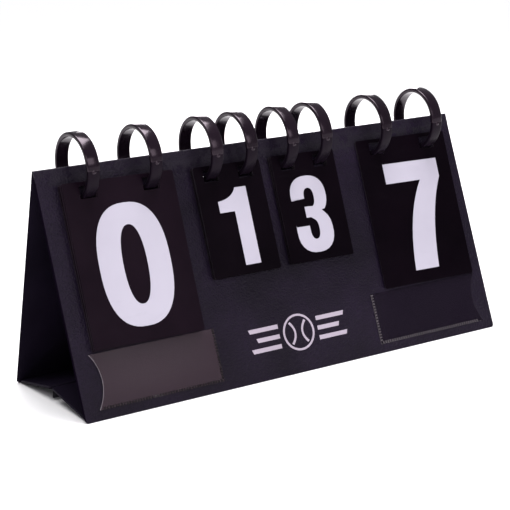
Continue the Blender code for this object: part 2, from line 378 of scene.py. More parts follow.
def makeInk(name, look):
    # screen printed ink: slight mottle, a few pinholes that show the card, a satin face
    material, tree, shader = newMaterial(name)
    grain = useGroup(tree, "grain", Size=look["grainSize"], Softness=0.6)
    handling = useGroup(tree, "handling", Scale=120.0, Amount=look["rubAmount"])
    mottled = mixColour(tree, spread(tree, grain.outputs["Tone"], 0.0, 1.0), look["dark"], look["light"])
    rubbed = mixColour(tree, handling.outputs["Rubs"], mottled, look["rub"])
    rough = spread(tree, handling.outputs["Patches"], 0.42, 0.56)
    setNode(tree, shader, Base_Color=rubbed, Roughness=rough)
    addBump(tree, shader, grain.outputs["Height"], 0.15, 0.00008)
    return material


inkLooks = {
    "digitInk": {
        "dark": (0.43, 0.408, 0.485), "light": (0.475, 0.455, 0.535), "rub": (0.385, 0.365, 0.44),
        "grainSize": 2600.0, "rubAmount": 0.35,
    },
    "emblemInk": {
        "dark": (0.35, 0.30, 0.365), "light": (0.42, 0.365, 0.44), "rub": (0.3, 0.26, 0.33),
        "grainSize": 2100.0, "rubAmount": 0.5,
    },
}


def makeClearVinyl(name, look):
    # see-through sheet: a slow haze, fine rubs, whitened patches where it has been welded
    material, tree, shader = newMaterial(name, **look["fixed"])
    handling = useGroup(tree, "handling", Scale=look["rubScale"], Amount=look["rubAmount"])
    grain = useGroup(tree, "grain", Size=look["grainSize"], Softness=0.9)
    hazed = mixColour(tree, handling.outputs["Rubs"], look["tint"], look["rub"])
    rough = spread(tree, handling.outputs["Patches"], look["roughLow"], look["roughHigh"])
    haze = spread(tree, grain.outputs["Tone"], look["alphaLow"], look["alphaHigh"])
    setNode(tree, shader, Base_Color=hazed, Roughness=rough, Alpha=haze)
    addBump(tree, shader, grain.outputs["Tone"], look["bump"], 0.0008)
    return material


weldLook = {
    "rubAmount": 0.9, "rubScale": 160.0, "grainSize": 900.0, "roughLow": 0.35, "roughHigh": 0.5,
    "alphaLow": 0.75, "alphaHigh": 0.9, "bump": 0.2, "fixed": {"Specular_IOR_Level": 0.4},
}
vinylLooks = {
    # the left pocket's sheet: the clear vinyl with a lighter tint, a painted reflection
    "litPocketVinyl": {
        "tint": (0.036, 0.0235, 0.0315), "rub": (0.06, 0.048, 0.056), "rubAmount": 0.25, "rubScale": 70.0,
        "grainSize": 420.0, "roughLow": 0.22, "roughHigh": 0.34, "alphaLow": 0.8, "alphaHigh": 0.88,
        "bump": 0.1, "fixed": {"Specular_IOR_Level": 0.12},
    },
    "clearVinyl": {
        "tint": (0.0085, 0.0055, 0.0115), "rub": (0.024, 0.021, 0.027), "rubAmount": 0.25, "rubScale": 70.0,
        "grainSize": 420.0, "roughLow": 0.2, "roughHigh": 0.3, "alphaLow": 0.86, "alphaHigh": 0.93,
        "bump": 0.1, "fixed": {"Specular_IOR_Level": 0.1},
    },
    # the left pocket's welds: near black and opaque, painted shade in the grooves, with pale rub specks
    "shadedWeld": dict(
        weldLook, tint=(0.003, 0.0022, 0.003), rub=(0.30, 0.27, 0.29), roughLow=0.3, roughHigh=0.45,
        alphaLow=0.95, alphaHigh=1.0, fixed={"Specular_IOR_Level": 0.15},
    ),
    "frostedWeld": dict(weldLook, tint=(0.07, 0.06, 0.068), rub=(0.36, 0.33, 0.35)),
    "faintWeld": dict(
        weldLook, tint=(0.012, 0.009, 0.014), rub=(0.04, 0.035, 0.042), fixed={"Specular_IOR_Level": 0.2},
    ),
    "paleRim": dict(weldLook, tint=(0.2, 0.18, 0.2), rub=(0.5, 0.47, 0.5)),
}


def makeTape(name, look):
    # hook and loop tapes: rows of tufts over a woven ground
    material, tree, shader = newMaterial(name, Roughness=look["rough"])
    spot = boardSpot(tree)
    tufts = addNode(
        tree, "ShaderNodeTexVoronoi", Vector=spot, Scale=look["tuftScale"], Randomness=look["disorder"],
    ).outputs["Distance"]
    wool = addNoise(tree, spot, Scale=2400.0, Detail=5.0, Roughness=0.7)
    mixed = mixColour(tree, wool, look["dark"], look["light"])
    # the tuft tips are painted lighter, a painted highlight
    lit = mixColour(tree, spread(tree, tufts, 1.0, 0.0, 0.0, 0.8), mixed, look["tip"])
    setNode(tree, shader, Base_Color=lit)
    addBump(tree, shader, tufts, 0.9, 0.0004)
    return material


tapeLooks = {
    "hookTape": {
        "dark": (0.008, 0.008, 0.009), "light": (0.02, 0.02, 0.022), "tip": (0.05, 0.05, 0.055),
        "tuftScale": 800.0, "disorder": 0.15, "rough": 0.6,
    },
    "loopTape": {
        "dark": (0.01, 0.01, 0.011), "light": (0.03, 0.03, 0.032), "tip": (0.055, 0.055, 0.06),
        "tuftScale": 1100.0, "disorder": 1.0, "rough": 0.9,
    },
}

materials = {name: makeSkin(name, look) for name, look in skinLooks.items()}
materials.update({name: makeInk(name, look) for name, look in inkLooks.items()})
materials.update({name: makeClearVinyl(name, look) for name, look in vinylLooks.items()})
materials.update({name: makeTape(name, look) for name, look in tapeLooks.items()})


def dress(piece, *names):
    piece.data.materials.clear()
    for name in names:
        piece.data.materials.append(materials[name])


print("materials ready")


# the front slots begin slotTop down the slope and are slotDepth long, in place of the CAD model's own
panelLook = {
    "edge": 0.0005, "segments": 4, "cadSlotTop": 0.0205, "cadSlotDepth": 0.0105, "slotTop": 0.0249,
    "slotDepth": 0.0046, "slotReach": 0.0075, "slotBand": (0.0195, 0.032), "cornerDown": 0.0035,
    "cornerAcross": 0.0025,
}
# how each ring hangs: its turn in degrees, and how far it has crept along its slot
rings = [
    {"yaw": 2.6, "slide": 0.0005}, {"yaw": 2.6, "slide": 0.0005}, {"yaw": 0.8, "slide": 0.0002},
    {"yaw": 1.0, "slide": 0.0002}, {"yaw": -0.5, "slide": 0.0}, {"yaw": 1.2, "slide": 0.0003},
    {"yaw": 2.6, "slide": 0.0010}, {"yaw": 2.0, "slide": 0.0010},
]


def tidyPanelOutline(panel, side):
    # square corners at the ridge, and slots in the front board cut close round the rings
    look = panelLook
    place(panel, slopeFrame(side).inverted())
    hubs = [(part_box(f"ring_{n}")[0][0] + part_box(f"ring_{n}")[1][0]) / 2 for n in range(1, 9)]
    nearRidge, nearSide = board["panelTop"] + look["cornerDown"], halfWidth - look["cornerAcross"]
    for point in panel.data.vertices:
        down = -point.co.y
        if down < nearRidge and abs(point.co.x) > nearSide:
            point.co.x = math.copysign(halfWidth, point.co.x)
        if side > 0 and look["slotBand"][0] < down < look["slotBand"][1]:
            number = min(range(8), key=lambda index: abs(hubs[index] - point.co.x))
            if abs(hubs[number] - point.co.x) < look["slotReach"]:
                point.co.x += rings[number]["slide"]
                share = (down - look["cadSlotTop"]) / look["cadSlotDepth"]
                point.co.y = -(look["slotTop"] + share * look["slotDepth"])
    place(panel, slopeFrame(side))


def makePanel(node, name, body, side):
    panel = copyNode(node, name)
    tidyPanelOutline(panel, side)
    roundEdges(panel, panelLook["edge"], panelLook["segments"])
    smoothShade(panel)
    dress(panel, "leatherette", "panelLining", "shadedBoardSide")
    inward = (slopeFrame(side).to_3x3() @ Vector((0, 0, -1))).normalized()
    for face in panel.data.polygons:
        if face.normal.dot(inward) > 0.98:
            face.material_index = 1
        # side faces take the darker copy of the covering, painted shade
        elif abs(face.normal.x) > 0.3 and abs(face.center.x) > halfWidth - 0.001:
            face.material_index = 2
    settle(panel, body, "leatherette", node)


leafLook = {"edge": 0.0006, "segments": 3}


def makeLeaf(node, name, body):
    leaf = copyNode(node, name)
    roundEdges(leaf, leafLook["edge"], leafLook["segments"])
    smoothShade(leaf)
    dress(leaf, "panelLining")
    settle(leaf, body, "lining", node)


def makeStrip(name, outline, x0, x1, thickness):
    # a strip of covering: an edge drawn along its route, pulled across, then given its thickness
    bpy.ops.mesh.primitive_plane_add(size=1)
    strip = bpy.context.object
    strip.name = name
    editAll(strip)
    pickPoints(strip, lambda spot: spot.x > 0 or spot.y > 0)
    bpy.ops.mesh.delete(type="VERT")
    leaveEdit()
    strip.data.vertices[0].co = (x0, *outline[0])
    editAll(strip)
    for before, after in zip(outline, outline[1:]):
        step = (0, after[0] - before[0], after[1] - before[1])
        bpy.ops.mesh.extrude_region_move(TRANSFORM_OT_translate={"value": step})
    bpy.ops.mesh.select_all(action="SELECT")
    bpy.ops.mesh.extrude_region_move(TRANSFORM_OT_translate={"value": (x1 - x0, 0, 0)})
    bpy.ops.mesh.select_all(action="SELECT")
    bpy.ops.mesh.normals_make_consistent(inside=False)
    leaveEdit()
    wall = strip.modifiers.new("wall", "SOLIDIFY")
    wall.thickness = thickness
    wall.offset = 0
    applyAll(strip)
    return strip


# foot is how far the fold reaches down each panel, bend is where it turns from one body to the other
spineLook = {
    "thickness": 0.0008, "radius": 0.0013, "foot": 0.0115, "steps": 12, "proud": 0.00002,
    "tuck": 0.0006, "tuckDrop": 0.0002, "shares": (1, 0.85, 0.7, 0.5), "bend": 0.0018,
}


def makeSpine():
    lean = board["lean"]
    inset = spineLook["thickness"] / 2
    radius = spineLook["radius"] - inset
    centre = apexHeight - spineLook["radius"] / math.sin(lean)
    down = Vector((math.sin(lean), -math.cos(lean)))
    inward = Vector((-math.cos(lean), -math.sin(lean)))
    apex = Vector((0, apexHeight))
    lowest = spineLook["foot"] + spineLook["tuckDrop"]
    side = [apex + down * lowest + inward * (inset + spineLook["tuck"])]
    for share in spineLook["shares"]:
        side.append(apex + down * spineLook["foot"] * share + inward * (inset - spineLook["proud"]))
    route = list(side)
    turn = math.pi / 2 - lean
    for step in range(spineLook["steps"] + 1):
        angle = math.pi / 2 - turn + 2 * turn * step / spineLook["steps"]
        route.append(Vector((math.cos(angle) * radius, centre + math.sin(angle) * radius)))
    route += [Vector((-spot.x, spot.y)) for spot in reversed(side)]
    outline = [tuple(spot) for spot in route]
    spine = makeStrip("spineFold", outline, -halfWidth, halfWidth, spineLook["thickness"])
    smoothShade(spine, 50)
    dress(spine, "leatherette")
    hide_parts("spine")
    return spine


foldLook = {
    "thickness": 0.0005, "reach": 0.0046, "start": 0.0004, "rise": 0.00045, "sideGap": 0.002, "steps": 5,
    "edge": 0.0001, "outset": 0.0003, "bendIn": 0.0004, "bendShare": 0.75, "bendHeight": 0.001,
}


def makeFoot(name, side):
    # the covering that hinges a leaf to its panel, low at the foot
    panelFoot = board["panelThickness"] / math.cos(board["lean"])
    outer = abs(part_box("front_panel")[0][1]) - panelFoot + foldLook["outset"]
    route = []
    for step in range(foldLook["steps"] + 1):
        share = step / foldLook["steps"]
        height = foldLook["start"] + foldLook["rise"] * share * share
        route.append((side * (outer - foldLook["reach"] * share), height))
    reach = halfWidth - foldLook["sideGap"]
    foot = makeStrip(name, route, -reach, reach, foldLook["thickness"])
    roundEdges(foot, foldLook["edge"], 1, 60)
    smoothShade(foot, 50)
    dress(foot, "leatherette")
    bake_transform(foot)


makePanel("front_panel", "frontPanelBoard", "front_body", 1)
makePanel("back_panel", "backPanelBoard", "back_body", -1)
makeLeaf("front_base_leaf", "frontLeafBoard", "front_leaf_body")
makeLeaf("rear_base_leaf", "rearLeafBoard", "rear_leaf_body")
spineFold = makeSpine()
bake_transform(spineFold)
makeFoot("frontFootFold", -1)
makeFoot("rearFootFold", 1)
print("panels and folds ready")


tabLook = {"edge": 0.0003, "tapeEdge": 0.0002}


def makeTab():
    tab = copyNode("closing_tab", "closingTabFlap")
    roundEdges(tab, tabLook["edge"], 3)
    smoothShade(tab)
    dress(tab, "panelLining")
    settle(tab, "closing_tab_body", "lining", "closing_tab")
    for node, name, body, look, slot in (
        ("hook_strip", "hookStripTape", "closing_tab_body", "hookTape", "hook_tape"),
        ("loop_strip", "loopStripTape", "front_leaf_body", "loopTape", "loop_tape"),
    ):
        tape = copyNode(node, name)
        roundEdges(tape, tabLook["tapeEdge"], 2)
        smoothShade(tape)
        dress(tape, look)
        settle(tape, body, slot, node)


makeTab()
print("closing tab ready")


ringLook = {
    "radius": 0.0257, "wall": 0.0033, "band": 0.0106, "round": 0.0011, "steps": 120,
    "socketStart": math.radians(2), "socketEnd": math.radians(75), "socketLift": 0.0002,
    "socketNarrow": 0.93, "socketMargin": 0.02, "nub": 0.0013, "nubShape": (1.5, 0.6, 1.2),
    "nubTurn": math.radians(3), "nubSink": 0.0002, "nubProud": 0.00003, "swing": 3,
}


def ringAngle(spot):
    # 0 at the front, level with the ring's centre; positive below it
    return math.atan2(-spot.z, -spot.y)


def shapeSocket(ring):
    # the snap socket: a slightly proud, narrower length on the front of the band
    for point in ring.data.vertices:
        angle = ringAngle(point.co)
        inside = ringLook["socketStart"] < angle < ringLook["socketEnd"]
        if inside:
            radius = math.hypot(point.co.y, point.co.z)
            outer = radius > ringLook["radius"] - ringLook["wall"] / 2
            grown = (radius + (ringLook["socketLift"] if outer else 0)) / radius
            point.co.y *= grown
            point.co.z *= grown
            point.co.x *= ringLook["socketNarrow"]


def makeRingBlank():
    middle = ringLook["radius"] - ringLook["wall"] / 2
    bpy.ops.mesh.primitive_plane_add(size=1, rotation=(math.pi / 2, 0, 0), location=(0, 0, middle))
    ring = bpy.context.object
    ring.scale = (ringLook["band"], ringLook["wall"], 1)
    bakePlace(ring)
    editAll(ring)
    bpy.ops.mesh.bevel(offset=ringLook["round"], segments=4, affect="VERTICES")
    bpy.ops.mesh.select_all(action="SELECT")
    bpy.ops.mesh.delete(type="ONLY_FACE")
    bpy.ops.mesh.select_all(action="SELECT")
    bpy.ops.mesh.spin(
        steps=ringLook["steps"], angle=2 * math.pi, center=(0, 0, 0), axis=(1, 0, 0), use_auto_merge=False,
    )
    leaveEdit()
    cleanNormals(ring)
    shapeSocket(ring)
    socketFace = ringLook["radius"] + ringLook["socketLift"]
    nubAngle = ringLook["socketStart"] + ringLook["nubTurn"]
    out = socketFace - ringLook["nubSink"]
    spot = (0, -math.cos(nubAngle) * out, -math.sin(nubAngle) * out)
    bpy.ops.mesh.primitive_uv_sphere_add(segments=20, ring_count=12, radius=ringLook["nub"], location=spot)
    nub = bpy.context.object
    nub.scale = ringLook["nubShape"]
    bakePlace(nub)
    ring = joinPieces(ring, [nub])
    smoothShade(ring, 30)
    dress(ring, "ringPlastic", "ringSocketPlastic")
    first = ringLook["socketStart"] + ringLook["socketMargin"]
    last = ringLook["socketEnd"] - ringLook["socketMargin"]
    for face in ring.data.polygons:
        onNub = math.hypot(face.center.y, face.center.z) > socketFace + ringLook["nubProud"]
        if first < ringAngle(face.center) < last and not onNub:
            face.material_index = 1
    return ring


def makeRings():
    blank = makeRingBlank()
    for number in range(1, 9):
        low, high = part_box(f"ring_{number}")
        centre = Vector([(a + b) / 2 for a, b in zip(low, high)])
        ring = duplicate(blank)
        ring.name = f"bandRing{number}"
        hang = rings[number - 1]
        turn = Matrix.Rotation(math.radians(hang["yaw"]), 4, "Z")
        swing = random.uniform(-ringLook["swing"], ringLook["swing"])
        turn = turn @ Matrix.Rotation(math.radians(swing), 4, "X")
        centre.x += hang["slide"]
        place(ring, Matrix.Translation(centre) @ turn)
        settle(ring, "front_body", "ring_plastic", f"ring_{number}")
    bpy.data.objects.remove(blank, do_unlink=True)


makeRings()
print("rings ready")


# digits are drawn on a height of 1, up from their base line
def superArc(centre, radii, start, end, power=2.35, steps=18):
    points = []
    for step in range(steps + 1):
        angle = math.radians(start + (end - start) * step / steps)
        across = math.copysign(abs(math.cos(angle)) ** (2 / power), math.cos(angle))
        along = math.copysign(abs(math.sin(angle)) ** (2 / power), math.sin(angle))
        points.append((centre[0] + radii[0] * across, centre[1] + radii[1] * along))
    return points


def bow(first, control, last, steps=10):
    # a plain quadratic curve between two points
    points = []
    for step in range(steps + 1):
        t = step / steps
        points.append(tuple(
            (1 - t) ** 2 * a + 2 * t * (1 - t) * b + t * t * c for a, b, c in zip(first, control, last)
        ))
    return points


def digitLoops(digit):
    # the outline first, then any holes
    if digit == 0:
        centre = (0.317, 0.5)
        outline = superArc(centre, (0.317, 0.5), 0, 354, 2.5, 59)
        return [outline, superArc(centre, (0.107, 0.322), 0, 354, 2.3, 59)]
    if digit == 1:
        flag = bow((0.0, 0.84), (0.21, 0.855), (0.272, 0.99))
        return [[(0, 0.695), *flag, (0.435, 0.99), (0.435, 0.01), (0.213, 0.01), (0.213, 0.695)]]
    if digit == 2:
        over = superArc((0.275, 0.725), (0.275, 0.275), 188, -18)
        slide = bow((0.53, 0.62), (0.43, 0.44), (0.3, 0.175))
        back = bow((0.0, 0.13), (0.17, 0.38), (0.315, 0.58))
        under = superArc((0.275, 0.71), (0.07, 0.125), -30, 180)
        foot = [(0.55, 0.175), (0.55, 0), (0, 0)]
        return [[*over, *slide, *foot, *back, *under, (0.205, 0.68), (0.004, 0.68)]]
    if digit == 3:
        over = superArc((0.27, 0.735), (0.27, 0.265), 187, -42)
        lower = superArc((0.275, 0.28), (0.275, 0.28), 48, -195)
        inside = superArc((0.273, 0.30), (0.07, 0.128), -180, 70)
        upper = superArc((0.275, 0.715), (0.075, 0.125), -70, 180)
        bar = [(0.25, 0.457), (0.18, 0.457), (0.18, 0.6), (0.25, 0.6)]
        return [[*over, (0.43, 0.537), *lower, (0.0, 0.353), (0.203, 0.353), *inside, *bar, *upper,
                 (0.2, 0.705), (0.0, 0.705)]]
    if digit == 4:
        outline = [(0.3, 1), (0.5, 1), (0.5, 0.36), (0.585, 0.36), (0.585, 0.19), (0.5, 0.19), (0.5, 0),
                   (0.29, 0), (0.29, 0.19), (0, 0.19), (0, 0.36)]
        return [outline, [(0.29, 0.36), (0.29, 0.74), (0.14, 0.36)]]
    if digit == 5:
        bowl = superArc((0.275, 0.33), (0.275, 0.33), 118, -190, 2.35, 28)
        inside = superArc((0.273, 0.33), (0.07, 0.16), -180, 130, 2.2, 24)
        return [[(0.04, 1), (0.525, 1), (0.525, 0.83), (0.22, 0.83), (0.205, 0.64), *bowl, (0, 0.3),
                 (0.203, 0.3), *inside, (0.21, 0.44), (0.02, 0.44)]]
    if digit in (6, 9):
        over = superArc((0.28, 0.735), (0.28, 0.265), -8, 180)
        under = superArc((0.28, 0.28), (0.28, 0.28), 180, 360)
        shoulder = bow((0.56, 0.36), (0.55, 0.64), (0.34, 0.635))
        inside = superArc((0.28, 0.7), (0.073, 0.14), 180, 0)
        outline = [*over, *under, *shoulder, (0.207, 0.58), *inside, (0.353, 0.695)]
        hole = superArc((0.28, 0.3), (0.073, 0.145), 0, 350, 2.35, 35)
        if digit == 6:
            return [outline, hole]
        return [[(0.56 - x, 1 - y) for x, y in loop] for loop in (outline, hole)]
    if digit == 7:
        right = bow((0.602, 0.82), (0.428, 0.52), (0.39, 0.01))
        left = bow((0.13, 0.01), (0.165, 0.52), (0.379, 0.81))
        return [[(0, 0.99), (0.602, 0.99), *right, *left, (0, 0.81)]]
    top = superArc((0.28, 0.745), (0.262, 0.255), -44, 224, 2.35, 28)
    bottom = superArc((0.28, 0.28), (0.28, 0.28), 132, 408, 2.35, 28)
    holes = [superArc((0.28, middle), radii, 0, 350, 2.3, 35)
             for middle, radii in ((0.75, (0.072, 0.105)), (0.285, (0.076, 0.125)))]
    return [[*top, (0.1, 0.535), *bottom, (0.46, 0.535)], *holes]


def flatShape(name, loops, depth):
    # a filled flat curve, turned into a thin closed mesh
    curve = bpy.data.curves.new(name, "CURVE")
    curve.dimensions = "2D"
    curve.fill_mode = "BOTH"
    curve.extrude = depth / 2
    for loop in loops:
        spline = curve.splines.new("POLY")
        spline.points.add(len(loop) - 1)
        for point, (x, y) in zip(spline.points, loop):
            point.co = (x, y, 0, 1)
        spline.use_cyclic_u = True
    shape = bpy.data.objects.new(name, curve)
    bpy.context.scene.collection.objects.link(shape)
    makeActive(shape)
    bpy.ops.object.convert(target="MESH")
    shape = bpy.context.object
    cleanNormals(shape)
    return shape


cardLook = {
    "thickness": 0.00035, "pitch": 0.00065, "gap": 0.0003, "corner": 0.0014,
    "holeDrop": 0.0029, "holeHeight": 0.0099, "holeCorner": 0.0006, "inkDepth": 0.00006,
    "edge": 0.00006, "shiftAcross": 0.0004, "shiftAlong": 0.0003, "swingSpread": 0.12,
    "swingBelow": 0.5, "inkSink": 0.00001, "near": 0.0001,
}
sizes = {
    "large": {
        "width": 0.092, "top": 0.0166, "bottom": 0.1401, "rings": 0.0522, "digitHeight": 0.0931,
        "digitMiddle": 0.0826, "holeWidth": 0.0142,
    },
    "small": {
        "width": 0.06, "top": 0.0186, "bottom": 0.1055, "rings": 0.0312, "digitHeight": 0.0622,
        "digitMiddle": 0.0684, "holeWidth": 0.0130,
    },
}
# swing is in degrees, about a pivot that far down the slope; the cards below swing about half as far.
# nudge moves the top card across, digit and drop move its number, fan moves the cards below it across
# vinyl: the left large stack keeps the card vinyl, the others take its darker copy as painted shade
stacks = {
    "left_large": {"size": "large", "vinyl": "cardVinyl", "shows": 0, "swing": 0.75, "pivot": 0.140},
    "left_small": {
        "size": "small", "vinyl": "shadedCardVinyl", "shows": 1, "swing": 0.6, "pivot": 0.03,
        "nudge": -0.0004, "digit": -0.0005,
    },
    "right_small": {
        "size": "small", "vinyl": "shadedCardVinyl", "shows": 3, "swing": 1.1, "pivot": 0.03,
        "nudge": 0.0007, "digit": -0.0018,
    },
    "right_large": {
        "size": "large", "vinyl": "shadedCardVinyl", "shows": 7, "swing": 1.05, "pivot": 0.140,
        "digit": 0.0042, "drop": 0.0016, "fan": 0.0013,
    },
}


def makeCardBlank(size):
    # a sheet cut to size, with its two holes and its round corners, then given its thickness
    height = size["bottom"] - size["top"]
    middle = -(size["bottom"] + size["top"]) / 2
    holeTop = -size["top"] - cardLook["holeDrop"]
    holes = (holeTop, holeTop - cardLook["holeHeight"])
    bpy.ops.mesh.primitive_plane_add(size=1, location=(0, middle, 0))
    blank = bpy.context.object
    blank.scale = (size["width"], height, 1)
    bakePlace(blank)
    editAll(blank)
    half = size["holeWidth"] / 2
    hubs = (-size["rings"] / 2, size["rings"] / 2)
    cuts = [((hub + edge, 0, 0), (1, 0, 0)) for hub in hubs for edge in (-half, half)]
    cuts += [((0, level, 0), (0, 1, 0)) for level in holes]
    for spot, direction in cuts:
        bpy.ops.mesh.select_all(action="SELECT")
        bpy.ops.mesh.bisect(plane_co=spot, plane_no=direction)
    pickFaces(blank, lambda spot, normal: (
        any(abs(spot.x - hub) < half for hub in hubs) and holes[1] < spot.y < holes[0]
    ))
    bpy.ops.mesh.delete(type="FACE")
    near = cardLook["near"]
    reachX = size["width"] / 2 - near
    ends = (-size["top"], -size["bottom"])
    pickPoints(blank, lambda spot: abs(spot.x) > reachX and min(abs(spot.y - end) for end in ends) < near)
    bpy.ops.mesh.bevel(offset=cardLook["corner"], segments=7, affect="VERTICES")
    pickPoints(blank, lambda spot: (
        min(abs(abs(spot.x - hub) - half) for hub in hubs) < near
        and min(abs(spot.y - end) for end in holes) < near
    ))
    bpy.ops.mesh.bevel(offset=cardLook["holeCorner"], segments=3, affect="VERTICES")
    leaveEdit()
    wall = blank.modifiers.new("sheet", "SOLIDIFY")
    wall.thickness = cardLook["thickness"]
    wall.offset = 0
    applyAll(blank)
    roundEdges(blank, cardLook["edge"], 1)
    smoothShade(blank)
    dress(blank, "cardVinyl", "cardCutEdgeHighlight")
    # the side faces take the cut-edge colour with its painted highlight
    for face in blank.data.polygons:
        if abs(face.normal.z) < 0.5:
            face.material_index = 1
    return blank


def makeDigitBlank(digit, size):
    loops = digitLoops(digit)
    width = max(x for x, y in loops[0])
    scaled = [[((x - width / 2) * size["digitHeight"], (y - 0.5) * size["digitHeight"]) for x, y in loop]
              for loop in loops]
    shape = flatShape(f"digit{digit}", scaled, cardLook["inkDepth"])
    place(shape, Matrix.Translation((0, -size["digitMiddle"], 0)))
    dress(shape, "digitInk")
    return shape


def addCard(stackName, stack, digit, sheet, inks):
    node = f"{stackName}_card_{digit}"
    low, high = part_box(node)
    isFront = digit >= stack["shows"]
    level = 9 - digit if isFront else digit
    height = cardLook["gap"] + level * cardLook["pitch"] + cardLook["thickness"] / 2
    isTop = digit == stack["shows"]
    shiftX = stack.get("nudge", 0) if isTop else random.uniform(-1, 1) * cardLook["shiftAcross"]
    shiftY = 0 if isTop else random.uniform(-1, 1) * cardLook["shiftAlong"]
    if isFront and not isTop:
        shiftX += stack.get("fan", 0)
    swing = stack["swing"] * (1 if isTop else cardLook["swingBelow"])
    if not isTop:
        swing += random.uniform(-1, 1) * cardLook["swingSpread"]
    pivot = Matrix.Translation((0, -stack["pivot"], 0))
    swung = pivot @ Matrix.Rotation(-math.radians(swing), 4, "Z") @ pivot.inverted()
    face = cardLook["thickness"] / 2 + cardLook["inkDepth"] / 2 - cardLook["inkSink"]
    turned = Matrix.Translation((0, 0, -face)) @ Matrix.Rotation(math.pi, 4, "Y")
    shown = Matrix.Translation((stack.get("digit", 0), -stack.get("drop", 0), face))
    marks = [(inks[digit], shown)]
    if digit < 9:
        marks.append((inks[digit + 1], turned))
    parts = []
    for blank, offset in [(sheet, Matrix.Identity(4)), *marks]:
        part = duplicate(blank)
        place(part, offset)
        parts.append(part)
    card = joinPieces(parts[0], parts[1:])
    card.name = f"{stackName}Sheet{digit}"
    card.data.materials[0] = materials[stack["vinyl"]]
    across = Matrix.Translation(((low[0] + high[0]) / 2 + shiftX, 0, 0))
    turnedOver = Matrix.Identity(4) if isFront else Matrix.Rotation(math.pi, 4, "Y")
    lifted = Matrix.Translation((0, shiftY, height)) @ turnedOver
    place(card, across @ slopeFrame(1 if isFront else -1) @ lifted @ swung)
    body = f"{stackName}_top_card" if isTop else ("front_body" if isFront else "back_body")
    settle(card, body, "card_vinyl", node)


def makeCards():
    for sizeName, size in sizes.items():
        blank = makeCardBlank(size)
        inks = [makeDigitBlank(digit, size) for digit in range(10)]
        for stackName, stack in stacks.items():
            if stack["size"] == sizeName:
                for digit in range(10):
                    addCard(stackName, stack, digit, blank, inks)
        for spare in [blank, *inks]:
            bpy.data.objects.remove(spare, do_unlink=True)


makeCards()
print("cards ready")


pocketLook = {
    "inner": 0.0745, "outer": 0.1825, "top": 0.1412, "bottom": 0.1822, "thumb": 0.0065, "sheet": 0.0003,
    "lift": 0.0003, "bulge": 0.00045, "rim": 0.00045, "leftTrim": 0.0022, "columns": 40, "rows": 20,
    "thumbStart": 0.6, "thumbPower": 1.6, "topRise": 2.2, "footRise": 1.1, "innerRise": 8, "lineShort": 0.002,
    "ribPitch": 0.0023, "ribLength": 0.0019, "ribWidth": 0.00125, "ribHeight": 0.00045, "ribRound": 0.00012,
    "edgeLine": 0.0003, "lineInset": 0.0001, "uprightInset": 0.0011, "flatInset": 0.0012, "rowStart": 0.0025,
}


def makePocketSheet(name, side, clear, frosted):
    look = pocketLook
    inner, outer = look["inner"], look["outer"] - (look["leftTrim"] if side < 0 else 0)
    width, height = outer - inner, look["bottom"] - look["top"]
    middleX, middleY = (inner + outer) / 2, -(look["bottom"] + look["top"]) / 2
    bpy.ops.mesh.primitive_grid_add(
        x_subdivisions=look["columns"], y_subdivisions=look["rows"], size=1, location=(middleX, middleY, 0),
    )
    sheet = bpy.context.object
    sheet.name = name
    sheet.scale = (width, height, 1)
    bakePlace(sheet)
    editAll(sheet)
    bpy.ops.mesh.bisect(plane_co=(outer - look["rim"], 0, 0), plane_no=(1, 0, 0))
    leaveEdit()
    dress(sheet, clear, frosted)
    for face in sheet.data.polygons:
        if face.center.x > outer - look["rim"]:
            face.material_index = 1
    for point in sheet.data.vertices:
        across = (point.co.x - inner) / width
        along = 2 * (point.co.y - middleY) / height
        cut = max(0.0, (across - look["thumbStart"]) / (1 - look["thumbStart"]))
        point.co.x -= look["thumb"] * (1 - along * along) * cut ** look["thumbPower"]
        swell = min(1.0, (1 - along) * look["topRise"]) * min(1.0, (1 + along) * look["footRise"])
        swell *= min(1.0, across * look["innerRise"])
        point.co.z += look["lift"] + look["bulge"] * swell * (2 - swell)
    wall = sheet.modifiers.new("sheet", "SOLIDIFY")
    wall.thickness = look["sheet"]
    wall.offset = 0
    applyAll(sheet)
    if side < 0:
        place(sheet, Matrix.Scale(-1, 4, (1, 0, 0)))
        editAll(sheet)
        bpy.ops.mesh.flip_normals()
        leaveEdit()
    smoothShade(sheet, 50)
    return sheet


def makeRib(spot, size):
    bpy.ops.mesh.primitive_cube_add(size=1, location=spot)
    rib = bpy.context.object
    rib.scale = size
    bakePlace(rib)
    roundEdges(rib, pocketLook["ribRound"], 1)
    return rib


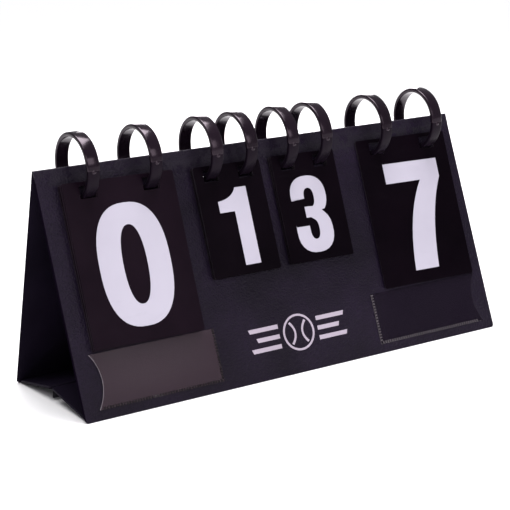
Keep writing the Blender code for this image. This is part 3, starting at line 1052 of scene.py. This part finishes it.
def makeWeld(name, side, material):
    # ribbed welds: one rib of each kind, then a row of it along each closed side
    look = pocketLook
    height = look["lift"] + look["ribHeight"] / 2
    inner, outer = look["inner"], look["outer"]
    tall, wide = look["bottom"] - look["top"], outer - inner
    length, width, proud = look["ribLength"], look["ribWidth"], look["ribHeight"]
    upright = makeRib((side * (inner + look["uprightInset"]), 0, height), (length, width, proud))
    flat = makeRib((0, -look["bottom"] + look["flatInset"], height), (width, length, proud))
    line, inset = look["edgeLine"], look["lineInset"]
    foot, long = -look["bottom"] + inset, wide - look["lineShort"]
    parts = [
        makeRib((side * (inner + inset), -look["top"] - tall / 2, look["lift"]), (line, tall, proud)),
        makeRib((side * (inner + long / 2), foot, look["lift"]), (long, line, proud)),
    ]
    row = [(upright, (0, -look["top"] - (index + 0.5) * look["ribPitch"], 0))
           for index in range(int(tall / look["ribPitch"]))]
    start = inner + look["rowStart"]
    row += [(flat, (side * (start + index * look["ribPitch"]), 0, 0))
            for index in range(int((wide - 2 * look["rowStart"]) / look["ribPitch"]))]
    for source, shift in row:
        rib = duplicate(source)
        place(rib, Matrix.Translation(shift))
        parts.append(rib)
    weld = joinPieces(parts[0], parts[1:])
    for spare in (upright, flat):
        bpy.data.objects.remove(spare, do_unlink=True)
    weld.name = name
    smoothShade(weld, 40)
    dress(weld, material)
    return weld


pockets = (
    {
        "side": -1, "node": "left_name_pocket", "title": "leftPocket",
        # the left pocket's sheet is tinted lighter as a painted reflection, and its welds are near black as
        # painted shade
        "clear": "litPocketVinyl", "weld": "shadedWeld", "rim": "paleRim",
    },
    {
        "side": 1, "node": "right_name_pocket", "title": "rightPocket",
        "clear": "clearVinyl", "weld": "frostedWeld", "rim": "faintWeld",
    },
)
for pocket in pockets:
    pocketSheet = makePocketSheet(pocket["title"] + "Sheet", pocket["side"], pocket["clear"], pocket["rim"])
    place(pocketSheet, slopeFrame(1))
    settle(pocketSheet, "front_body", "clear_vinyl", pocket["node"])
    pocketWeld = makeWeld(pocket["title"] + "Weld", pocket["side"], pocket["weld"])
    place(pocketWeld, slopeFrame(1))
    settle(pocketWeld, "front_body", "clear_vinyl")
print("pockets ready")


# a plain ball between three bars on each side, printed on the covering
emblemLook = {
    "slope": 0.158, "radius": 0.0145, "line": 0.0017, "depth": 0.00008, "barGap": 0.0035,
    "barLengths": (0.026, 0.020, 0.026), "barPitch": 0.0078, "barHalf": 0.0017, "barSlant": 0.0012,
    "seamInset": 1.8, "seamTip": 0.72, "seamWaist": 0.02, "seamHalf": 0.7, "seamInnerHalf": 0.8,
}


def makeEmblem():
    look = emblemLook
    radius, line = look["radius"], look["line"]
    ringLoops = [superArc((0, 0), (size, size), 0, 357, 2, 119) for size in (radius, radius - line)]
    parts = [flatShape("emblemBall", ringLoops, look["depth"])]
    reach = radius - look["seamInset"] * line
    tip, waist = reach * look["seamTip"], reach * look["seamWaist"]
    half, innerHalf = reach * look["seamHalf"], reach * look["seamInnerHalf"]
    for side in (-1, 1):
        outer = bow((side * tip, half), (side * waist, 0), (side * tip, -half))
        innerTip, innerWaist = side * (tip - line), side * (waist - line)
        inner = bow((innerTip, -innerHalf), (innerWaist, 0), (innerTip, innerHalf))
        parts.append(flatShape("emblemSeam", [outer + inner], look["depth"]))
        for index, length in enumerate(look["barLengths"]):
            middle = (1 - index) * look["barPitch"]
            low, high = middle - look["barHalf"], middle + look["barHalf"]
            start = side * (radius + look["barGap"])
            end = side * (radius + look["barGap"] + length)
            bar = [(start, low), (end, low), (end + side * look["barSlant"], high), (start, high)]
            parts.append(flatShape("emblemBar", [bar], look["depth"]))
    emblem = joinPieces(parts[0], parts[1:])
    emblem.name = "printedEmblem"
    dress(emblem, "emblemInk")
    place(emblem, slopeFrame(1) @ Matrix.Translation((0, -look["slope"], look["depth"] / 2)))
    settle(emblem, "front_body", "leatherette")


makeEmblem()
print("emblem ready")


stageLook = {
    "floorSize": 30.0, "floorColour": (0.93, 0.93, 0.935), "worldColour": (0.96, 0.95, 1.0),
    "worldStrength": 0.3, "worldSeen": 1.05, "lampColour": (1.0, 0.95, 0.98), "sunStrength": 2.6,
    "sunSpread": math.radians(60), "floorDrop": 0.0002, "fibreShade": 0.99, "aimHeight": 0.1,
}


def makeStage():
    below = (0, 0, -stageLook["floorDrop"])
    bpy.ops.mesh.primitive_plane_add(size=stageLook["floorSize"], location=below)
    floor = bpy.context.object
    floor.name = "studioFloor"
    paper, tree, shader = newMaterial("floorPaper", Roughness=0.9)
    fibres = addNoise(tree, boardSpot(tree), Scale=40.0, Detail=4.0)
    pale = stageLook["floorColour"]
    shaded = [value * stageLook["fibreShade"] for value in pale]
    setNode(tree, shader, Base_Color=mixColour(tree, fibres, pale, shaded))
    floor.data.materials.append(paper)
    world = bpy.data.worlds.new("paleRoom")
    world.use_nodes = True
    tree = world.node_tree
    # the camera sees a whiter room than the one that lights the board
    seen = addNode(tree, "ShaderNodeLightPath").outputs["Is Camera Ray"]
    strength = spread(tree, seen, stageLook["worldStrength"], stageLook["worldSeen"], 0.0, 1.0)
    colour = (*stageLook["worldColour"], 1)
    setNode(tree, tree.nodes["Background"], Color=colour, Strength=strength)
    bpy.context.scene.world = world
    bpy.context.scene.view_settings.view_transform = "Standard"


def addLamp(name, kind, spot, power):
    lamp = bpy.data.lights.new(name, kind)
    lamp.energy = power
    lampObject = bpy.data.objects.new(name, lamp)
    bpy.context.scene.collection.objects.link(lampObject)
    lampObject.location = spot
    aim = Vector((0, 0, stageLook["aimHeight"])) - Vector(spot)
    lampObject.rotation_euler = aim.to_track_quat("-Z", "Y").to_euler()
    return lamp


# the ceiling lamp whitens the floor; the boxes shape the rings and the printed faces
softboxes = {
    "keySoftbox": {"spot": (-0.65, -1.45, 0.95), "size": 0.6, "power": 8},
    "sheenSoftbox": {"spot": (0.42, -1.3, 0.62), "size": 0.5, "power": 2.6},
    "topSoftbox": {"spot": (0.1, 0.15, 1.2), "size": 0.6, "power": 13},
    "rimStrip": {"spot": (0.75, 1.15, 0.5), "size": 0.55, "power": 6},
}


def makeLights():
    ceiling = addLamp("ceilingLamp", "SUN", (-0.1, 0.05, 2.0), stageLook["sunStrength"])
    ceiling.angle = stageLook["sunSpread"]
    for name, look in softboxes.items():
        box = addLamp(name, "AREA", look["spot"], look["power"])
        box.size = look["size"]
        box.color = stageLook["lampColour"]


cameraLook = {
    "azimuth": math.radians(32.09), "elevation": math.radians(13.35), "roll": math.radians(-2.4),
    "distance": 1.1977, "lens": 105.3, "right": -0.0037, "up": -0.0168,
}


def makeCamera():
    look = cameraLook
    turn, tilt, roll = look["azimuth"], look["elevation"], look["roll"]
    ahead = Vector((math.sin(turn) * math.cos(tilt), math.cos(turn) * math.cos(tilt), -math.sin(tilt)))
    level = Vector((math.cos(turn), -math.sin(turn), 0))
    over = level.cross(ahead)
    right = math.cos(roll) * level + math.sin(roll) * over
    up = -math.sin(roll) * level + math.cos(roll) * over
    camera = bpy.data.objects.new("viewCamera", bpy.data.cameras.new("viewCamera"))
    bpy.context.scene.collection.objects.link(camera)
    camera.data.lens = look["lens"]
    camera.data.sensor_width = 36
    aim = Vector((0, 0, stageLook["aimHeight"]))
    spot = right * look["right"] + up * look["up"] - ahead * look["distance"] + aim
    turned = Matrix((right, up, -ahead)).transposed().to_4x4()
    camera.matrix_world = Matrix.Translation(spot) @ turned
    bpy.context.scene.camera = camera


makeStage()
makeLights()
makeCamera()
deselectAll()
print("stage ready")
